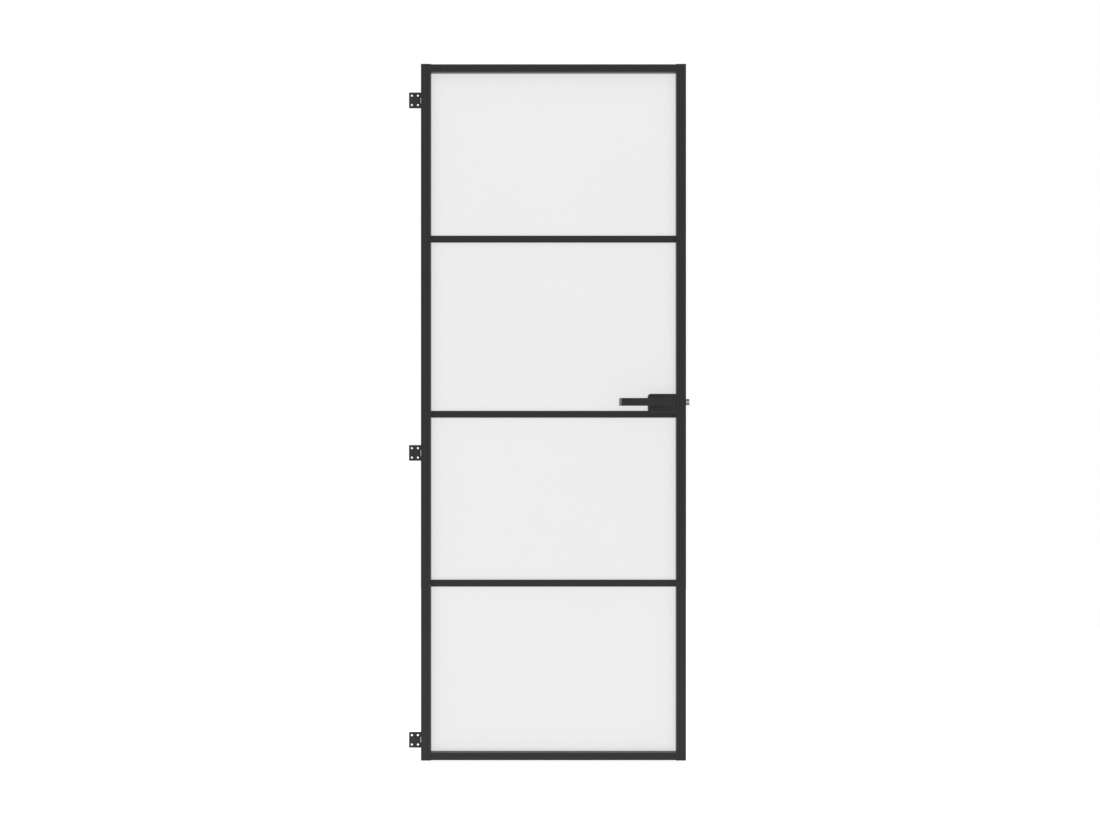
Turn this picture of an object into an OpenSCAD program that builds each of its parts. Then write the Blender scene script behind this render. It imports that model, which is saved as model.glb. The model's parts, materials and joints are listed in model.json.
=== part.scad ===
// Hinged door leaf: a slim black aluminium frame round one frosted glass pane, with glued bars on
// both faces of the glass, three barrel hinges, and a tubular latch worked by a lever on each side.
// +Z is up, the hinges are at -X and the latch at +X. The leaf opens towards +Y, the side that the
// hinges are on. The origin is the middle of the bottom jamb plate's four holes, on the face that
// lies against the jamb.

/* [Leaf] */
// Width over the two stiles
leaf_w = 767; // [600:1:1000]
// Height over the end caps of the stiles
leaf_h = 2015; // [1650:1:2500]
// Depth of the frame from front to back
frame_d = 40; // [36:1:50]

/* [Frame profiles] */
// Width of a stile's face
stile_w = 28.5; // [26:0.5:45]
// Height of a rail's face
rail_w = 22; // [21:0.5:40]
// Wall of the profiles
wall = 1.6; // [1.2:0.1:2]
// Wall along a stile's outer edge, which takes the latch plate
edge_wall = 3; // [2.4:0.1:4]
// Depth of the glazing groove
groove_d = 10; // [8:0.5:12]
// Radius of the long edges of the profiles
edge_r = 0.8; // [0.4:0.1:1.2]
// Distance of the fine line on each face from the inner edge
line_in = 9.5; // [6:0.5:12]
// Side of the square that cuts the fine line
line_w = 0.5; // [0.3:0.1:0.8]
// Thickness of the end caps of the stiles
cap_t = 1; // [0.8:0.1:3]

/* [Glass] */
// Thickness of the pane
glass_t = 5; // [4:0.5:6]
// Rubber between the pane and each side of its groove
gasket_t = 2.5; // [1.5:0.1:3]
// Rubber between the pane's edge and the bottom of its groove
gasket_web = 1.5; // [1:0.1:3]

/* [Bars] */
// Width of a bar's face
bar_w = 20; // [14:1:30]
// Thickness of a bar
bar_t = 5; // [3:0.5:8]
// Height of the middle of the bottom bar above the leaf's foot
low_bar_z = 511.2; // [300:0.1:700]
// Height of the middle of the middle bar above the leaf's foot
mid_bar_z = 1001.5; // [900:0.5:1002]
// Distance of the middle of the top bar below the leaf's head
high_bar_drop = 504.9; // [300:0.1:600]
// Thickness of the glazing tape under the bars
tape_t = 1; // [0.6:0.1:2]
// Width of the glazing tape
tape_w = 10; // [8:1:12]

/* [Hinges] */
// Height of the bottom hinge above the leaf's foot
low_hinge_z = 48.1; // [44:0.1:200]
// Height of the middle hinge above the leaf's foot
mid_hinge_z = 888.4; // [600:0.1:1100]
// Distance of the top hinge below the leaf's head
high_hinge_drop = 94.3; // [50:0.1:300]
// Height of a hinge
hinge_h = 45.8; // [40:0.1:80]
// Thickness of the hinge plates
hinge_t = 2.5; // [2:0.1:4]
// Reach of a jamb plate beyond the leaf's edge
jamb_reach = 39.3; // [36:0.1:60]
// Spacing of the jamb holes across the plate
hole_dx = 17.6; // [14:0.1:24]
// Spacing of the jamb holes along the plate
hole_dz = 27.5; // [20:0.1:30]
// Radius of the jamb holes
hole_r = 3; // [2:0.1:3.5]
// Distance of the far column of jamb holes from the plate's far edge
hole_edge = 8.3; // [7:0.1:10]
// Radius of the knuckles
knuckle_r = 5; // [4.5:0.1:7]
// Radius of the pins
pin_r = 2.5; // [2:0.1:3]
// Turning clearance round a pin
pin_clear = 0.05; // [0.02:0.01:0.08]
// Height of the leaf's knuckle
mid_knuckle_h = 15; // [12:0.5:20]
// Height of each washer's gap
washer_gap = 0.8; // [0.6:0.1:1.5]

/* [Lock] */
// Height of the spindle above the leaf's foot
spindle_z = 1037; // [1000:1:1100]
// Distance of the spindle from the leaf's edge
backset = 60; // [55:1:70]
// Width of the lock covers
cover_w = 81.1; // [78:0.1:100]
// Height of the lock covers
cover_h = 53; // [52:1:70]
// How far the covers reach below the spindle
cover_below = 29.3; // [28:0.1:30]
// Wall of the covers
cover_wall = 2; // [1.5:0.1:3]
// Radius of the covers' outer corners
cover_r = 8; // [3:0.5:10]
// Length of the latch case
case_l = 78; // [76:1:80]
// Thickness of the latch case
case_t = 14; // [14:0.5:16]
// Height of the latch case
case_h = 34; // [34:0.5:36]
// How far the bolt stands out
bolt_out = 12.6; // [10:0.1:14]
// Height of the bolt
bolt_h = 18; // [12:0.5:18]
// Thickness of the bolt
bolt_t = 11; // [8:0.5:11]
// Height of the plastic strip in the bolt's slope
strip_h = 6; // [4:0.5:8]

/* [Levers] */
// Length of a lever from the spindle to its tip
lever_l = 135; // [110:0.1:160]
// Height of a lever's grip
lever_h = 22.3; // [18:0.1:26]
// Thickness of a lever's grip
lever_t = 9; // [7:0.5:12]
// Distance of a grip's face from the face of the frame
lever_out = 48; // [40:1:60]
// Depth of the leg behind the grip
leg_d = 29; // [8:1:32]
// Angle between the leg and the grip, in degrees
leg_lean = 81; // [60:1:90]
// Radius of the outside of the bend
bend_r = 1; // [1:0.5:8]
// Radius of the necks
neck_r = 9; // [8:0.5:10]
// Side of the square spindle
spindle_s = 8; // [7:0.5:8]
// Turn of the levers that draws the bolt back, in degrees
lever_turn = 50; // [40:1:55]

/* [Hidden] */
$fn = 64;

paint = [0.09, 0.09, 0.09];
rubber = [0.05, 0.05, 0.05];
steel = [0.62, 0.63, 0.65];
zinc = [0.72, 0.72, 0.7];
milk = [0.9, 0.92, 0.92, 0.8];
nylon = [0.85, 0.85, 0.82];

// Clearances
fit = 0.05;          // between parts that slide or turn on each other
loose = 0.3;         // round parts that pass through a cut-out
over = 1;            // how far a cutting shape runs past what it cuts

// Frame
half_d = frame_d / 2;
inside = half_d - wall;
groove_w = glass_t + 2 * gasket_t;
port_u = 7.5;        // screw ports: distance from a rail's outer edge
port_v = 12;         // and from the middle of its depth
port_r = 4;
port_web = 3;
corner_r = 2.1;      // corner screws: shank, head and length in the rail
corner_head_r = 4.5;
corner_head_h = 2.7;
corner_l = 25;
access_r = 5;
plug_half = 6;       // end cap plugs: half depth, height and wall
plug_h = 8;
plug_wall = 1.5;

// Glass and bars
glass_in = groove_d - gasket_web;
glass_x0 = stile_w - glass_in;
glass_x1 = leaf_w - glass_x0;
glass_z0 = cap_t + rail_w - glass_in;
glass_z1 = leaf_h - glass_z0;
face_y = glass_t / 2;
bar_zs = [low_bar_z, mid_bar_z, leaf_h - high_bar_drop];
bar_x0 = stile_w + loose;
bar_x1 = leaf_w - bar_x0;
tape_short = 4;

// Hinges
pin_y = half_d + knuckle_r + 0.4;
plate_y = half_d + hinge_t;
knuckle_clear = 0.6;
hinge_zs = [leaf_h - high_hinge_drop, mid_hinge_z, low_hinge_z];
far_hole_x = hole_edge - jamb_reach;
pattern_x = far_hole_x + hole_dx / 2;
end_knuckle_h = (hinge_h - mid_knuckle_h) / 2 - washer_gap;
plate_gap = 0.5;
leaf_plate_x1 = stile_w - 1.5;
leaf_hole_xs = [leaf_plate_x1 - 16.5, leaf_plate_x1 - 5.5];
hinge_screw_r = 2;
hinge_head_r = 4;
hinge_head_h = 2.1;
backing_t = 4;
press = 0.01;

// Lock
spindle_x = leaf_w - backset;
cover_x1 = leaf_w - stile_w - loose;
cover_x0 = cover_x1 - cover_w;
cover_z0 = spindle_z - cover_below;
cover_z1 = cover_z0 + cover_h;
cover_round = 0.6;
bar_gap = 0.1;
pad_t = 0.8;
pad_w = 3;
cover_y = half_d;
mouth_y = face_y + pad_t;
notch_x0 = cover_x0 + 7;
notch_in = 4;
notch_z0 = cover_z0 + notch_in;
notch_z1 = cover_z1 - notch_in;
notch_r = 3;
boss_r = 3.6;
boss_end = 0.5;
bolt_r = 2;
clamp_bolts = [[notch_x0 + 7, cover_z0 + cover_h / 2], [cover_x1 - 7.5, notch_z0 + boss_r + 0.4]];
faceplate_w = 22;
faceplate_h = 58;
faceplate_t = 1.6;
faceplate_r = 3;
faceplate_dz = 23;
small_screw_r = 1.7;
small_head_r = 3.4;
small_head_h = 1.4;
small_screw_l = 15;
face_x = leaf_w - faceplate_t;
case_x0 = leaf_w - case_l - 2;
case_wall = 1.1;
guide_t = 3;
bolt_x0 = leaf_w - 25;
bolt_x1 = leaf_w + bolt_out;
slope_x0 = leaf_w + 1;
nose_y = bolt_t / 2 - 2;
bush_r = 12;
bush_in = 10;
flange_r = 13;
flange_t = 1.5;
hub_r = 8;
hub_half = case_t / 2 + 0.6;
arm_reach = 14;
arm_tip_r = 1.6;
arm_half = 1;
arm_half_t = 3;
arm_lean = lever_turn / 2;
bolt_travel = 2 * arm_reach * sin(arm_lean);
lug_x1 = spindle_x + arm_reach * sin(arm_lean) - arm_tip_r - 0.15;
lug_t = 3;
tail_y0 = 3.4;
tail_t = 2;
tail_z0 = 9.5;
lug_z0 = 11.8;
tail_z1 = 15.5;
tail_foot_l = 10;
stop_x0 = spindle_x + 9;
stop_t = 1.2;
coil_r = 3.6;
wire_r = 0.6;

// Levers
grip_y = half_d + lever_out;
tip_x = spindle_x - lever_l;
end_x = spindle_x + lever_h / 2;
grip_round = 0.8;
grip_corner = 3;
leg_l = (lever_t + leg_d) / sin(leg_lean);
fillet_r = 4;
socket_end = grip_y - 22;
set_screw_y = half_d + 12;
set_screw_r = 2.5;
turn_coil_r = bush_r + 1.1;
turn_wire_r = 0.8;

// Moves a shape from the leaf's own corner (its hinge edge, middle depth and foot) to the origin
module to_origin() {
    translate([-pattern_x, -half_d, -low_hinge_z]) children();
}

// Points on an arc about c, from angle a0 to a1
function arc(c, r, a0, a1, n = 4) = [
    for (i = [0 : n]) let (a = a0 + (a1 - a0) * i / n) [c[0] + r * cos(a), c[1] + r * sin(a)]
];

// Points of a rectangle with rounded corners
function rounded(x0, y0, x1, y1, r) = concat(
    arc([x1 - r, y1 - r], r, 0, 90),
    arc([x0 + r, y1 - r], r, 90, 180),
    arc([x0 + r, y0 + r], r, 180, 270),
    arc([x1 - r, y0 + r], r, 270, 360)
);

// A block between two corners
module block(p, q) {
    translate(p) cube(q - p);
}

// A flat shape drawn in X and Z, thick from y0 to y1
module slab_y(y0, y1) {
    translate([0, y1, 0]) rotate([90, 0, 0]) linear_extrude(y1 - y0) children();
}

// A flat shape drawn in Y and Z, long from x0 to x1
module slab_x(x0, x1) {
    translate([x0, 0, 0]) rotate([90, 0, 90]) linear_extrude(x1 - x0) children();
}

module rod_x(x0, x1, y, z, r) {
    translate([x0, y, z]) rotate([0, 90, 0]) cylinder(h = x1 - x0, r = r);
}

module rod_y(x, y0, y1, z, r) {
    translate([x, y1, z]) rotate([90, 0, 0]) cylinder(h = y1 - y0, r = r);
}

module rod_z(x, y, z0, z1, r) {
    translate([x, y, z0]) cylinder(h = z1 - z0, r = r);
}

// A cone along Y, from radius r0 at y0 to radius r1 at y1
module cone_y(x, y0, y1, z, r0, r1) {
    translate([x, y0, z]) rotate([-90, 0, 0]) cylinder(h = y1 - y0, r1 = r0, r2 = r1);
}

// Copies what follows to both sides of the leaf's middle depth
module both_faces() {
    children();
    mirror([0, 1, 0]) children();
}

// Copies what follows to both ends of the leaf's width
module both_sides() {
    children();
    translate([leaf_w, 0, 0]) mirror([1, 0, 0]) children();
}

// Copies what follows to the leaf's foot and head
module both_ends() {
    children();
    translate([0, 0, leaf_h]) mirror([0, 0, 1]) children();
}

// A round wire wound about X, from x = 0 to x = length
module coil(radius, wire, length, turns, sides = 8, steps = 16) {
    rings = turns * steps;
    points = [
        for (i = [0 : rings], k = [0 : sides - 1])
            let (a = 360 * i / steps, b = 360 * k / sides, r = radius + wire * cos(b))
            [length * i / rings + wire * sin(b), r * cos(a), r * sin(a)]
    ];
    walls = [
        for (i = [0 : rings - 1], k = [0 : sides - 1])
            let (j = (k + 1) % sides)
            [i * sides + k, i * sides + j, (i + 1) * sides + j, (i + 1) * sides + k]
    ];
    first = [for (k = [0 : sides - 1]) sides - 1 - k];
    last = [for (k = [0 : sides - 1]) rings * sides + k];
    polyhedron(points, concat(walls, [first, last]));
}

// Section of a frame profile, drawn from its outer edge inwards and centred on its depth
module profile(face, outer) {
    chamber_u = face - groove_d - wall;
    difference() {
        polygon(rounded(0, -half_d, face, half_d, edge_r));
        translate([outer, -inside]) square([chamber_u - outer, 2 * inside]);
        for (s = [0, 1]) mirror([0, s]) {
            translate([chamber_u - over, groove_w / 2 + wall])
                square([groove_d + over, inside - groove_w / 2 - wall]);
            translate([face - line_in, half_d]) rotate(45) square(line_w, center = true);
        }
        translate([face - groove_d, -groove_w / 2]) square([groove_d + over, groove_w]);
    }
}

module stile() {
    difference() {
        translate([0, 0, cap_t]) linear_extrude(leaf_h - 2 * cap_t) profile(stile_w, edge_wall);
        both_ends() both_faces() {
            rod_x(-over, edge_wall + over, port_v, cap_t + port_u, access_r);
            rod_x(stile_w - wall - over, stile_w + over, port_v, cap_t + port_u, corner_r + 2 * fit);
        }
    }
}

module hinge_stile() {
    color(paint) to_origin() difference() {
        stile();
        for (z = hinge_zs, x = leaf_hole_xs, dz = [-hole_dz, hole_dz] / 2)
            rod_y(x, inside - over, half_d + over, z + dz, hinge_screw_r + 4 * fit);
    }
}

module lock_stile() {
    passage = [stile_w + over, case_t / 2 + loose, case_h / 2 + loose];
    color(paint) to_origin() difference() {
        translate([leaf_w, 0, 0]) mirror([1, 0, 0]) stile();
        block(
            [leaf_w - passage[0], -passage[1], spindle_z - passage[2]],
            [leaf_w + over, passage[1], spindle_z + passage[2]]
        );
        translate([0, 0, spindle_z]) {
            slab_x(face_x, leaf_w + over) faceplate_outline(fit);
            for (dz = [-faceplate_dz, faceplate_dz])
                rod_x(leaf_w - edge_wall - over, leaf_w + over, 0, dz, small_screw_r + fit);
        }
    }
}

// A rail laid along the leaf's foot
module rail() {
    slab_x(stile_w, leaf_w - stile_w) translate([0, cap_t]) mirror([1, -1]) difference() {
        union() {
            profile(rail_w, wall);
            for (s = [-1, 1]) translate([port_u, s * port_v]) {
                circle(port_r);
                translate([-port_u + wall / 2, -port_web / 2]) square([port_u - port_r + wall / 2, port_web]);
            }
        }
        for (s = [-1, 1]) translate([port_u, s * port_v]) circle(corner_r + fit);
    }
}

module bottom_rail() {
    color(paint) to_origin() rail();
}

module top_rail() {
    color(paint) to_origin() translate([0, 0, leaf_h]) mirror([0, 0, 1]) rail();
}

module stile_end_caps() {
    plug_x0 = edge_wall + loose / 2;
    plug_x1 = stile_w - groove_d - wall - loose / 2;
    color(paint) to_origin() both_sides() both_ends() {
        linear_extrude(cap_t) polygon(rounded(0, -half_d, stile_w, half_d, edge_r));
        difference() {
            block([plug_x0, -plug_half, cap_t / 2], [plug_x1, plug_half, cap_t + plug_h]);
            block(
                [plug_x0 + plug_wall, plug_wall - plug_half, cap_t],
                [plug_x1 - plug_wall, plug_half - plug_wall, cap_t + plug_h + over]
            );
        }
    }
}

module corner_screws() {
    seat = stile_w - wall;
    color(zinc) to_origin() both_sides() both_ends() both_faces() {
        rod_x(seat - corner_head_h, seat, port_v, cap_t + port_u, corner_head_r);
        rod_x(seat - over, stile_w + corner_l, port_v, cap_t + port_u, corner_r);
    }
}

module access_plugs() {
    color(paint) to_origin() both_sides() both_ends() both_faces()
        rod_x(0, edge_wall - 0.2, port_v, cap_t + port_u, access_r - fit);
}

module glass_pane() {
    color(milk) to_origin() slab_y(-face_y, face_y) difference() {
        translate([glass_x0, glass_z0]) square([glass_x1 - glass_x0, glass_z1 - glass_z0]);
        polygon(rounded(notch_x0, notch_z0, glass_x1 + 2 * notch_r, notch_z1, notch_r));
    }
}

// Section of the rubber channel that holds the pane's edge in a profile of this face width
module channel(face) {
    difference() {
        translate([face - groove_d, -groove_w / 2]) square([groove_d, groove_w]);
        translate([face - glass_in, -face_y]) square([glass_in + over, glass_t]);
    }
}

module side_channel() {
    channel_z0 = cap_t + rail_w - groove_d;
    translate([0, 0, channel_z0]) linear_extrude(leaf_h - 2 * channel_z0) channel(stile_w);
}

module rail_channel() {
    slab_x(stile_w, leaf_w - stile_w) translate([0, cap_t]) mirror([1, -1]) channel(rail_w);
}

module hinge_side_gasket() {
    color(rubber) to_origin() side_channel();
}

module lock_side_gasket() {
    color(rubber) to_origin() difference() {
        translate([leaf_w, 0, 0]) mirror([1, 0, 0]) side_channel();
        block([leaf_w - stile_w - over, -half_d, notch_z0], [leaf_w, half_d, notch_z1]);
    }
}

module bottom_gasket() {
    color(rubber) to_origin() rail_channel();
}

module top_gasket() {
    color(rubber) to_origin() translate([0, 0, leaf_h]) mirror([0, 0, 1]) rail_channel();
}

// One bar on the front face, with the middle one cut away under the lock cover
module bar(z) {
    bar_y = face_y + tape_t;
    color(paint) difference() {
        slab_x(bar_x0, bar_x1)
            polygon(rounded(-bar_y - bar_t, z - bar_w / 2, -bar_y, z + bar_w / 2, edge_r));
        slab_y(-cover_y, 0) polygon(rounded(
            cover_x0 - bar_gap, cover_z0 - bar_gap, leaf_w + cover_r, cover_z1 + bar_gap, cover_r + bar_gap
        ));
    }
}

module front_bar(i) {
    to_origin() bar(bar_zs[i]);
}

module back_bar(i) {
    to_origin() mirror([0, 1, 0]) bar(bar_zs[i]);
}

module bar_tapes() {
    color(rubber) to_origin() both_faces() for (z = bar_zs)
        block(
            [bar_x0 + tape_short, -face_y - tape_t, z - tape_w / 2],
            [bar_x1 - tape_short, -face_y, z + tape_w / 2]
        );
}

// Space round the knuckles of the other half of a hinge; s is -1 towards the jamb and 1 towards the leaf
module knuckle_room(s, z0, z1) {
    reach = knuckle_r + knuckle_clear;
    x = [0, s * reach];
    block([min(x), half_d - over, z0], [max(x), plate_y + over, z1]);
}

module jamb_plate(z) {
    room = mid_knuckle_h / 2 + washer_gap;
    color(paint) to_origin() translate([0, 0, z]) difference() {
        union() {
            difference() {
                slab_y(half_d, plate_y) intersection() {
                    polygon(rounded(-jamb_reach, -hinge_h / 2, jamb_reach, hinge_h / 2, 2.5));
                    translate([-jamb_reach, -hinge_h / 2]) square([jamb_reach - plate_gap, hinge_h]);
                }
                knuckle_room(-1, -room, room);
            }
            for (s = [0, 1]) mirror([0, 0, s]) rod_z(0, pin_y, room, hinge_h / 2, knuckle_r);
        }
        rod_z(0, pin_y, -hinge_h, hinge_h, pin_r + press);
        for (x = [far_hole_x, far_hole_x + hole_dx], dz = [-hole_dz, hole_dz] / 2) {
            rod_y(x, half_d - over, plate_y + over, dz, hole_r);
            cone_y(x, plate_y - 1.2, plate_y + 0.4, dz, hole_r, hole_r + 2);
        }
    }
}

module hinge_plate(z) {
    room = mid_knuckle_h / 2;
    color(paint) to_origin() translate([0, 0, z]) difference() {
        union() {
            difference() {
                slab_y(half_d, plate_y) intersection() {
                    polygon(rounded(-leaf_plate_x1, -hinge_h / 2, leaf_plate_x1, hinge_h / 2, 2.5));
                    translate([plate_gap, -hinge_h / 2]) square([leaf_plate_x1, hinge_h]);
                }
                for (s = [0, 1]) mirror([0, 0, s]) knuckle_room(1, room, hinge_h);
            }
            rod_z(0, pin_y, -room, room, knuckle_r);
        }
        rod_z(0, pin_y, -hinge_h, hinge_h, pin_r + pin_clear);
        for (x = leaf_hole_xs, dz = [-hole_dz, hole_dz] / 2) {
            rod_y(x, half_d - over, plate_y + over, dz, hinge_screw_r + 2 * fit);
            cone_y(
                x, plate_y - hinge_head_h - fit, plate_y + fit, dz,
                hinge_screw_r, hinge_head_r + 2 * fit
            );
        }
    }
}

module hinge_pin(z) {
    color(steel) to_origin() translate([0, 0, z]) {
        rod_z(0, pin_y, -hinge_h / 2, hinge_h / 2 + fit, pin_r);
        rod_z(0, pin_y, hinge_h / 2, hinge_h / 2 + 1.6, knuckle_r - 1);
    }
}

module hinge_washers() {
    low = mid_knuckle_h / 2;
    color(nylon) to_origin() for (z = hinge_zs, z0 = [-low - washer_gap, low]) difference() {
        rod_z(0, pin_y, z + z0 + fit, z + z0 + washer_gap - fit, knuckle_r - 0.2);
        rod_z(0, pin_y, z + z0 - over, z + z0 + washer_gap + over, pin_r + 2 * fit);
    }
}

module hinge_backing_plates() {
    color(zinc) to_origin() for (z = hinge_zs) difference() {
        block(
            [edge_wall + 1, inside - backing_t, z - hinge_h / 2],
            [stile_w - wall - 1, inside, z + hinge_h / 2]
        );
        for (x = leaf_hole_xs, dz = [-hole_dz, hole_dz] / 2)
            rod_y(x, 0, half_d, z + dz, hinge_screw_r + fit);
    }
}

module hinge_screws() {
    color(zinc) to_origin() for (z = hinge_zs, x = leaf_hole_xs, dz = [-hole_dz, hole_dz] / 2) {
        rod_y(x, inside - backing_t - 1, plate_y - 1, z + dz, hinge_screw_r);
        cone_y(x, plate_y - hinge_head_h, plate_y, z + dz, hinge_screw_r, hinge_head_r);
    }
}

// Outline of a lock cover, in X and Z: rounded where it ends on the glass, square against the stile
module cover_outline(inset, r) {
    intersection() {
        polygon(rounded(cover_x0 + inset, cover_z0 + inset, cover_x1 + 2 * r, cover_z1 - inset, r));
        translate([cover_x0, cover_z0]) square([cover_w - inset, cover_h]);
    }
}

// A front lock cover without its fixings
module cover_shell() {
    difference() {
        intersection() {
            slab_y(-cover_y, -mouth_y) cover_outline(0, cover_r);
            slab_x(cover_x0 - over, cover_x1 + over)
                polygon(rounded(-cover_y, cover_z0, cover_y, cover_z1, cover_round));
            translate([0, 0, cover_z0 - over]) linear_extrude(cover_h + 2 * over)
                polygon(rounded(cover_x0, -cover_y, cover_x1 + 2 * cover_round, cover_y, cover_round));
        }
        slab_y(cover_wall - cover_y, 0) cover_outline(cover_wall, cover_r - cover_wall);
        block(
            [case_x0, -case_t / 2 - loose, spindle_z - case_h / 2 - loose],
            [leaf_w, 0, spindle_z + case_h / 2 + loose]
        );
    }
}

module front_lock_cover() {
    color(paint) to_origin() difference() {
        union() {
            cover_shell();
            for (p = clamp_bolts) rod_y(p[0], cover_wall / 2 - cover_y, -boss_end, p[1], boss_r);
        }
        for (p = clamp_bolts) rod_y(p[0], cover_wall + 1 - cover_y, 0, p[1], bolt_r + fit);
        rod_y(spindle_x, -cover_y - over, 0, spindle_z, bush_r + press);
    }
}

module back_lock_cover() {
    color(paint) to_origin() mirror([0, 1, 0]) difference() {
        union() {
            cover_shell();
            for (p = clamp_bolts) rod_y(p[0], cover_wall / 2 - cover_y, -boss_end, p[1], boss_r);
        }
        for (p = clamp_bolts) {
            rod_y(p[0], -cover_y - over, 0, p[1], bolt_r + 4 * fit);
            cone_y(p[0], -cover_y - fit, hinge_head_h - cover_y + fit, p[1], hinge_head_r + 2 * fit, bolt_r);
        }
        rod_y(spindle_x, -cover_y - over, 0, spindle_z, bush_r + press);
    }
}

module cover_pads() {
    color(rubber) to_origin() both_faces() slab_y(-mouth_y, -face_y) difference() {
        cover_outline(0, cover_r);
        translate([0, 0]) polygon(
            rounded(cover_x0 + pad_w, cover_z0 + pad_w, leaf_w, cover_z1 - pad_w, cover_r - pad_w)
        );
    }
}

module cover_bolts() {
    color(zinc) to_origin() for (p = clamp_bolts) {
        rod_y(p[0], cover_wall + 1.5 - cover_y, cover_y - 1, p[1], bolt_r);
        cone_y(p[0], cover_y - hinge_head_h, cover_y, p[1], bolt_r, hinge_head_r);
    }
}

module faceplate_outline(gap) {
    polygon(rounded(
        -faceplate_w / 2 - gap, -faceplate_h / 2 - gap,
        faceplate_w / 2 + gap, faceplate_h / 2 + gap, faceplate_r
    ));
}

// A block round the bolt's own section
module bolt_way(x0, x1, gap) {
    block([x0, -bolt_t / 2 - gap, -bolt_h / 2 - gap], [x1, bolt_t / 2 + gap, bolt_h / 2 + gap]);
}

module latch_case() {
    half = [case_t / 2, case_h / 2];
    color(zinc) to_origin() translate([0, 0, spindle_z]) {
        difference() {
            block([case_x0, -half[0], -half[1]], [face_x, half[0], half[1]]);
            block(
                [case_x0 + case_wall, case_wall - half[0], case_wall - half[1]],
                [face_x - guide_t, half[0] - case_wall, half[1] - case_wall]
            );
            bolt_way(face_x - guide_t - over, face_x + over, 2 * fit);
            rod_y(spindle_x, -case_t, case_t, 0, hub_r + fit);
        }
        block(
            [stop_x0, -half[0] + case_wall / 2, -bolt_h / 2],
            [stop_x0 + stop_t, half[0] - case_wall / 2, bolt_h / 2]
        );
    }
}

module latch_faceplate() {
    color(steel) to_origin() translate([0, 0, spindle_z]) difference() {
        slab_x(face_x, leaf_w) faceplate_outline(0);
        bolt_way(face_x - over, leaf_w + over, loose);
        for (dz = [-faceplate_dz, faceplate_dz]) {
            rod_x(face_x - over, leaf_w + over, 0, dz, small_screw_r + fit);
            translate([leaf_w - small_head_h - fit, 0, dz]) rotate([0, 90, 0])
                cylinder(h = small_head_h + 2 * fit, r1 = small_screw_r, r2 = small_head_r + 2 * fit);
        }
    }
}

module faceplate_screws() {
    color(steel) to_origin() for (dz = [-faceplate_dz, faceplate_dz]) translate([0, 0, spindle_z + dz]) {
        rod_x(leaf_w - small_screw_l, leaf_w - 0.5, 0, 0, small_screw_r);
        translate([leaf_w - small_head_h, 0, 0]) rotate([0, 90, 0])
            cylinder(h = small_head_h, r1 = small_screw_r, r2 = small_head_r);
    }
}

// The bolt from above: a square shank and a nose that slopes on the closing side
module bolt_plan() {
    polygon([
        [bolt_x0, -bolt_t / 2], [slope_x0, -bolt_t / 2], [bolt_x1, nose_y],
        [bolt_x1, bolt_t / 2], [bolt_x0, bolt_t / 2]
    ]);
}

// The strip from above: a skin over the slope and the nose
module strip_plan() {
    intersection() {
        difference() {
            bolt_plan();
            translate([-2, 1.6]) bolt_plan();
        }
        translate([slope_x0 - 3, -bolt_t]) square([bolt_out + 3, 2 * bolt_t]);
    }
}

// The foot of the tail, let into the bolt's side
module tail_foot(gap) {
    block(
        [bolt_x0 - gap, tail_y0, bolt_h / 2 - 4],
        [bolt_x0 + tail_foot_l, tail_y0 + tail_t + gap, tail_z1]
    );
}

module latch_bolt() {
    color(steel) to_origin() translate([0, 0, spindle_z]) difference() {
        translate([0, 0, -bolt_h / 2]) linear_extrude(bolt_h) bolt_plan();
        translate([0, 0, -strip_h / 2]) linear_extrude(strip_h) strip_plan();
        tail_foot(over);
    }
}

module bolt_strip() {
    color(nylon) to_origin() translate([0, 0, spindle_z - strip_h / 2]) linear_extrude(strip_h) strip_plan();
}

module latch_tail() {
    color(zinc) to_origin() translate([0, 0, spindle_z]) {
        tail_foot(0);
        block([lug_x1 - lug_t, tail_y0, tail_z0], [bolt_x0 + over, tail_y0 + tail_t, tail_z1]);
        block([lug_x1 - lug_t, -arm_half_t, lug_z0], [lug_x1, tail_y0 + tail_t, tail_z1]);
    }
}

module latch_spring() {
    spring_x0 = stop_x0 + stop_t + wire_r;
    color(steel) to_origin() translate([spring_x0, 0, spindle_z])
        coil(coil_r, wire_r, bolt_x0 - wire_r - spring_x0, 8);
}

module square_hole(gap) {
    side = spindle_s + 2 * gap;
    square(side, center = true);
}

module lever_cam() {
    color(zinc) to_origin() translate([spindle_x, 0, spindle_z]) difference() {
        union() {
            slab_y(-hub_half, hub_half) circle(hub_r);
            slab_y(-arm_half_t, arm_half_t) rotate(-arm_lean) {
                translate([-arm_half, 0]) square([2 * arm_half, arm_reach]);
                translate([0, arm_reach]) circle(arm_tip_r);
            }
        }
        slab_y(-case_t, case_t) square_hole(fit);
    }
}

module spindle() {
    color(zinc) to_origin() translate([spindle_x, 0, spindle_z])
        slab_y(over - socket_end, socket_end - over) square_hole(0);
}

module lever_bushes() {
    color(rubber) to_origin() both_faces() difference() {
        union() {
            rod_y(spindle_x, -cover_y - flange_t, -cover_y, spindle_z, flange_r);
            rod_y(spindle_x, -cover_y - fit, -bush_in, spindle_z, bush_r);
        }
        rod_y(spindle_x, -cover_y - 2 * flange_t, 0, spindle_z, neck_r + fit);
    }
}

module lever_springs() {
    turns = 4;
    length = cover_y - cover_wall - bush_in - 2 * turn_wire_r - fit;
    color(steel) to_origin() both_faces()
        translate([spindle_x, -bush_in - turn_wire_r, spindle_z]) rotate([0, 0, -90])
            coil(turn_coil_r, turn_wire_r, length, turns, 8, 20);
}

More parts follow.
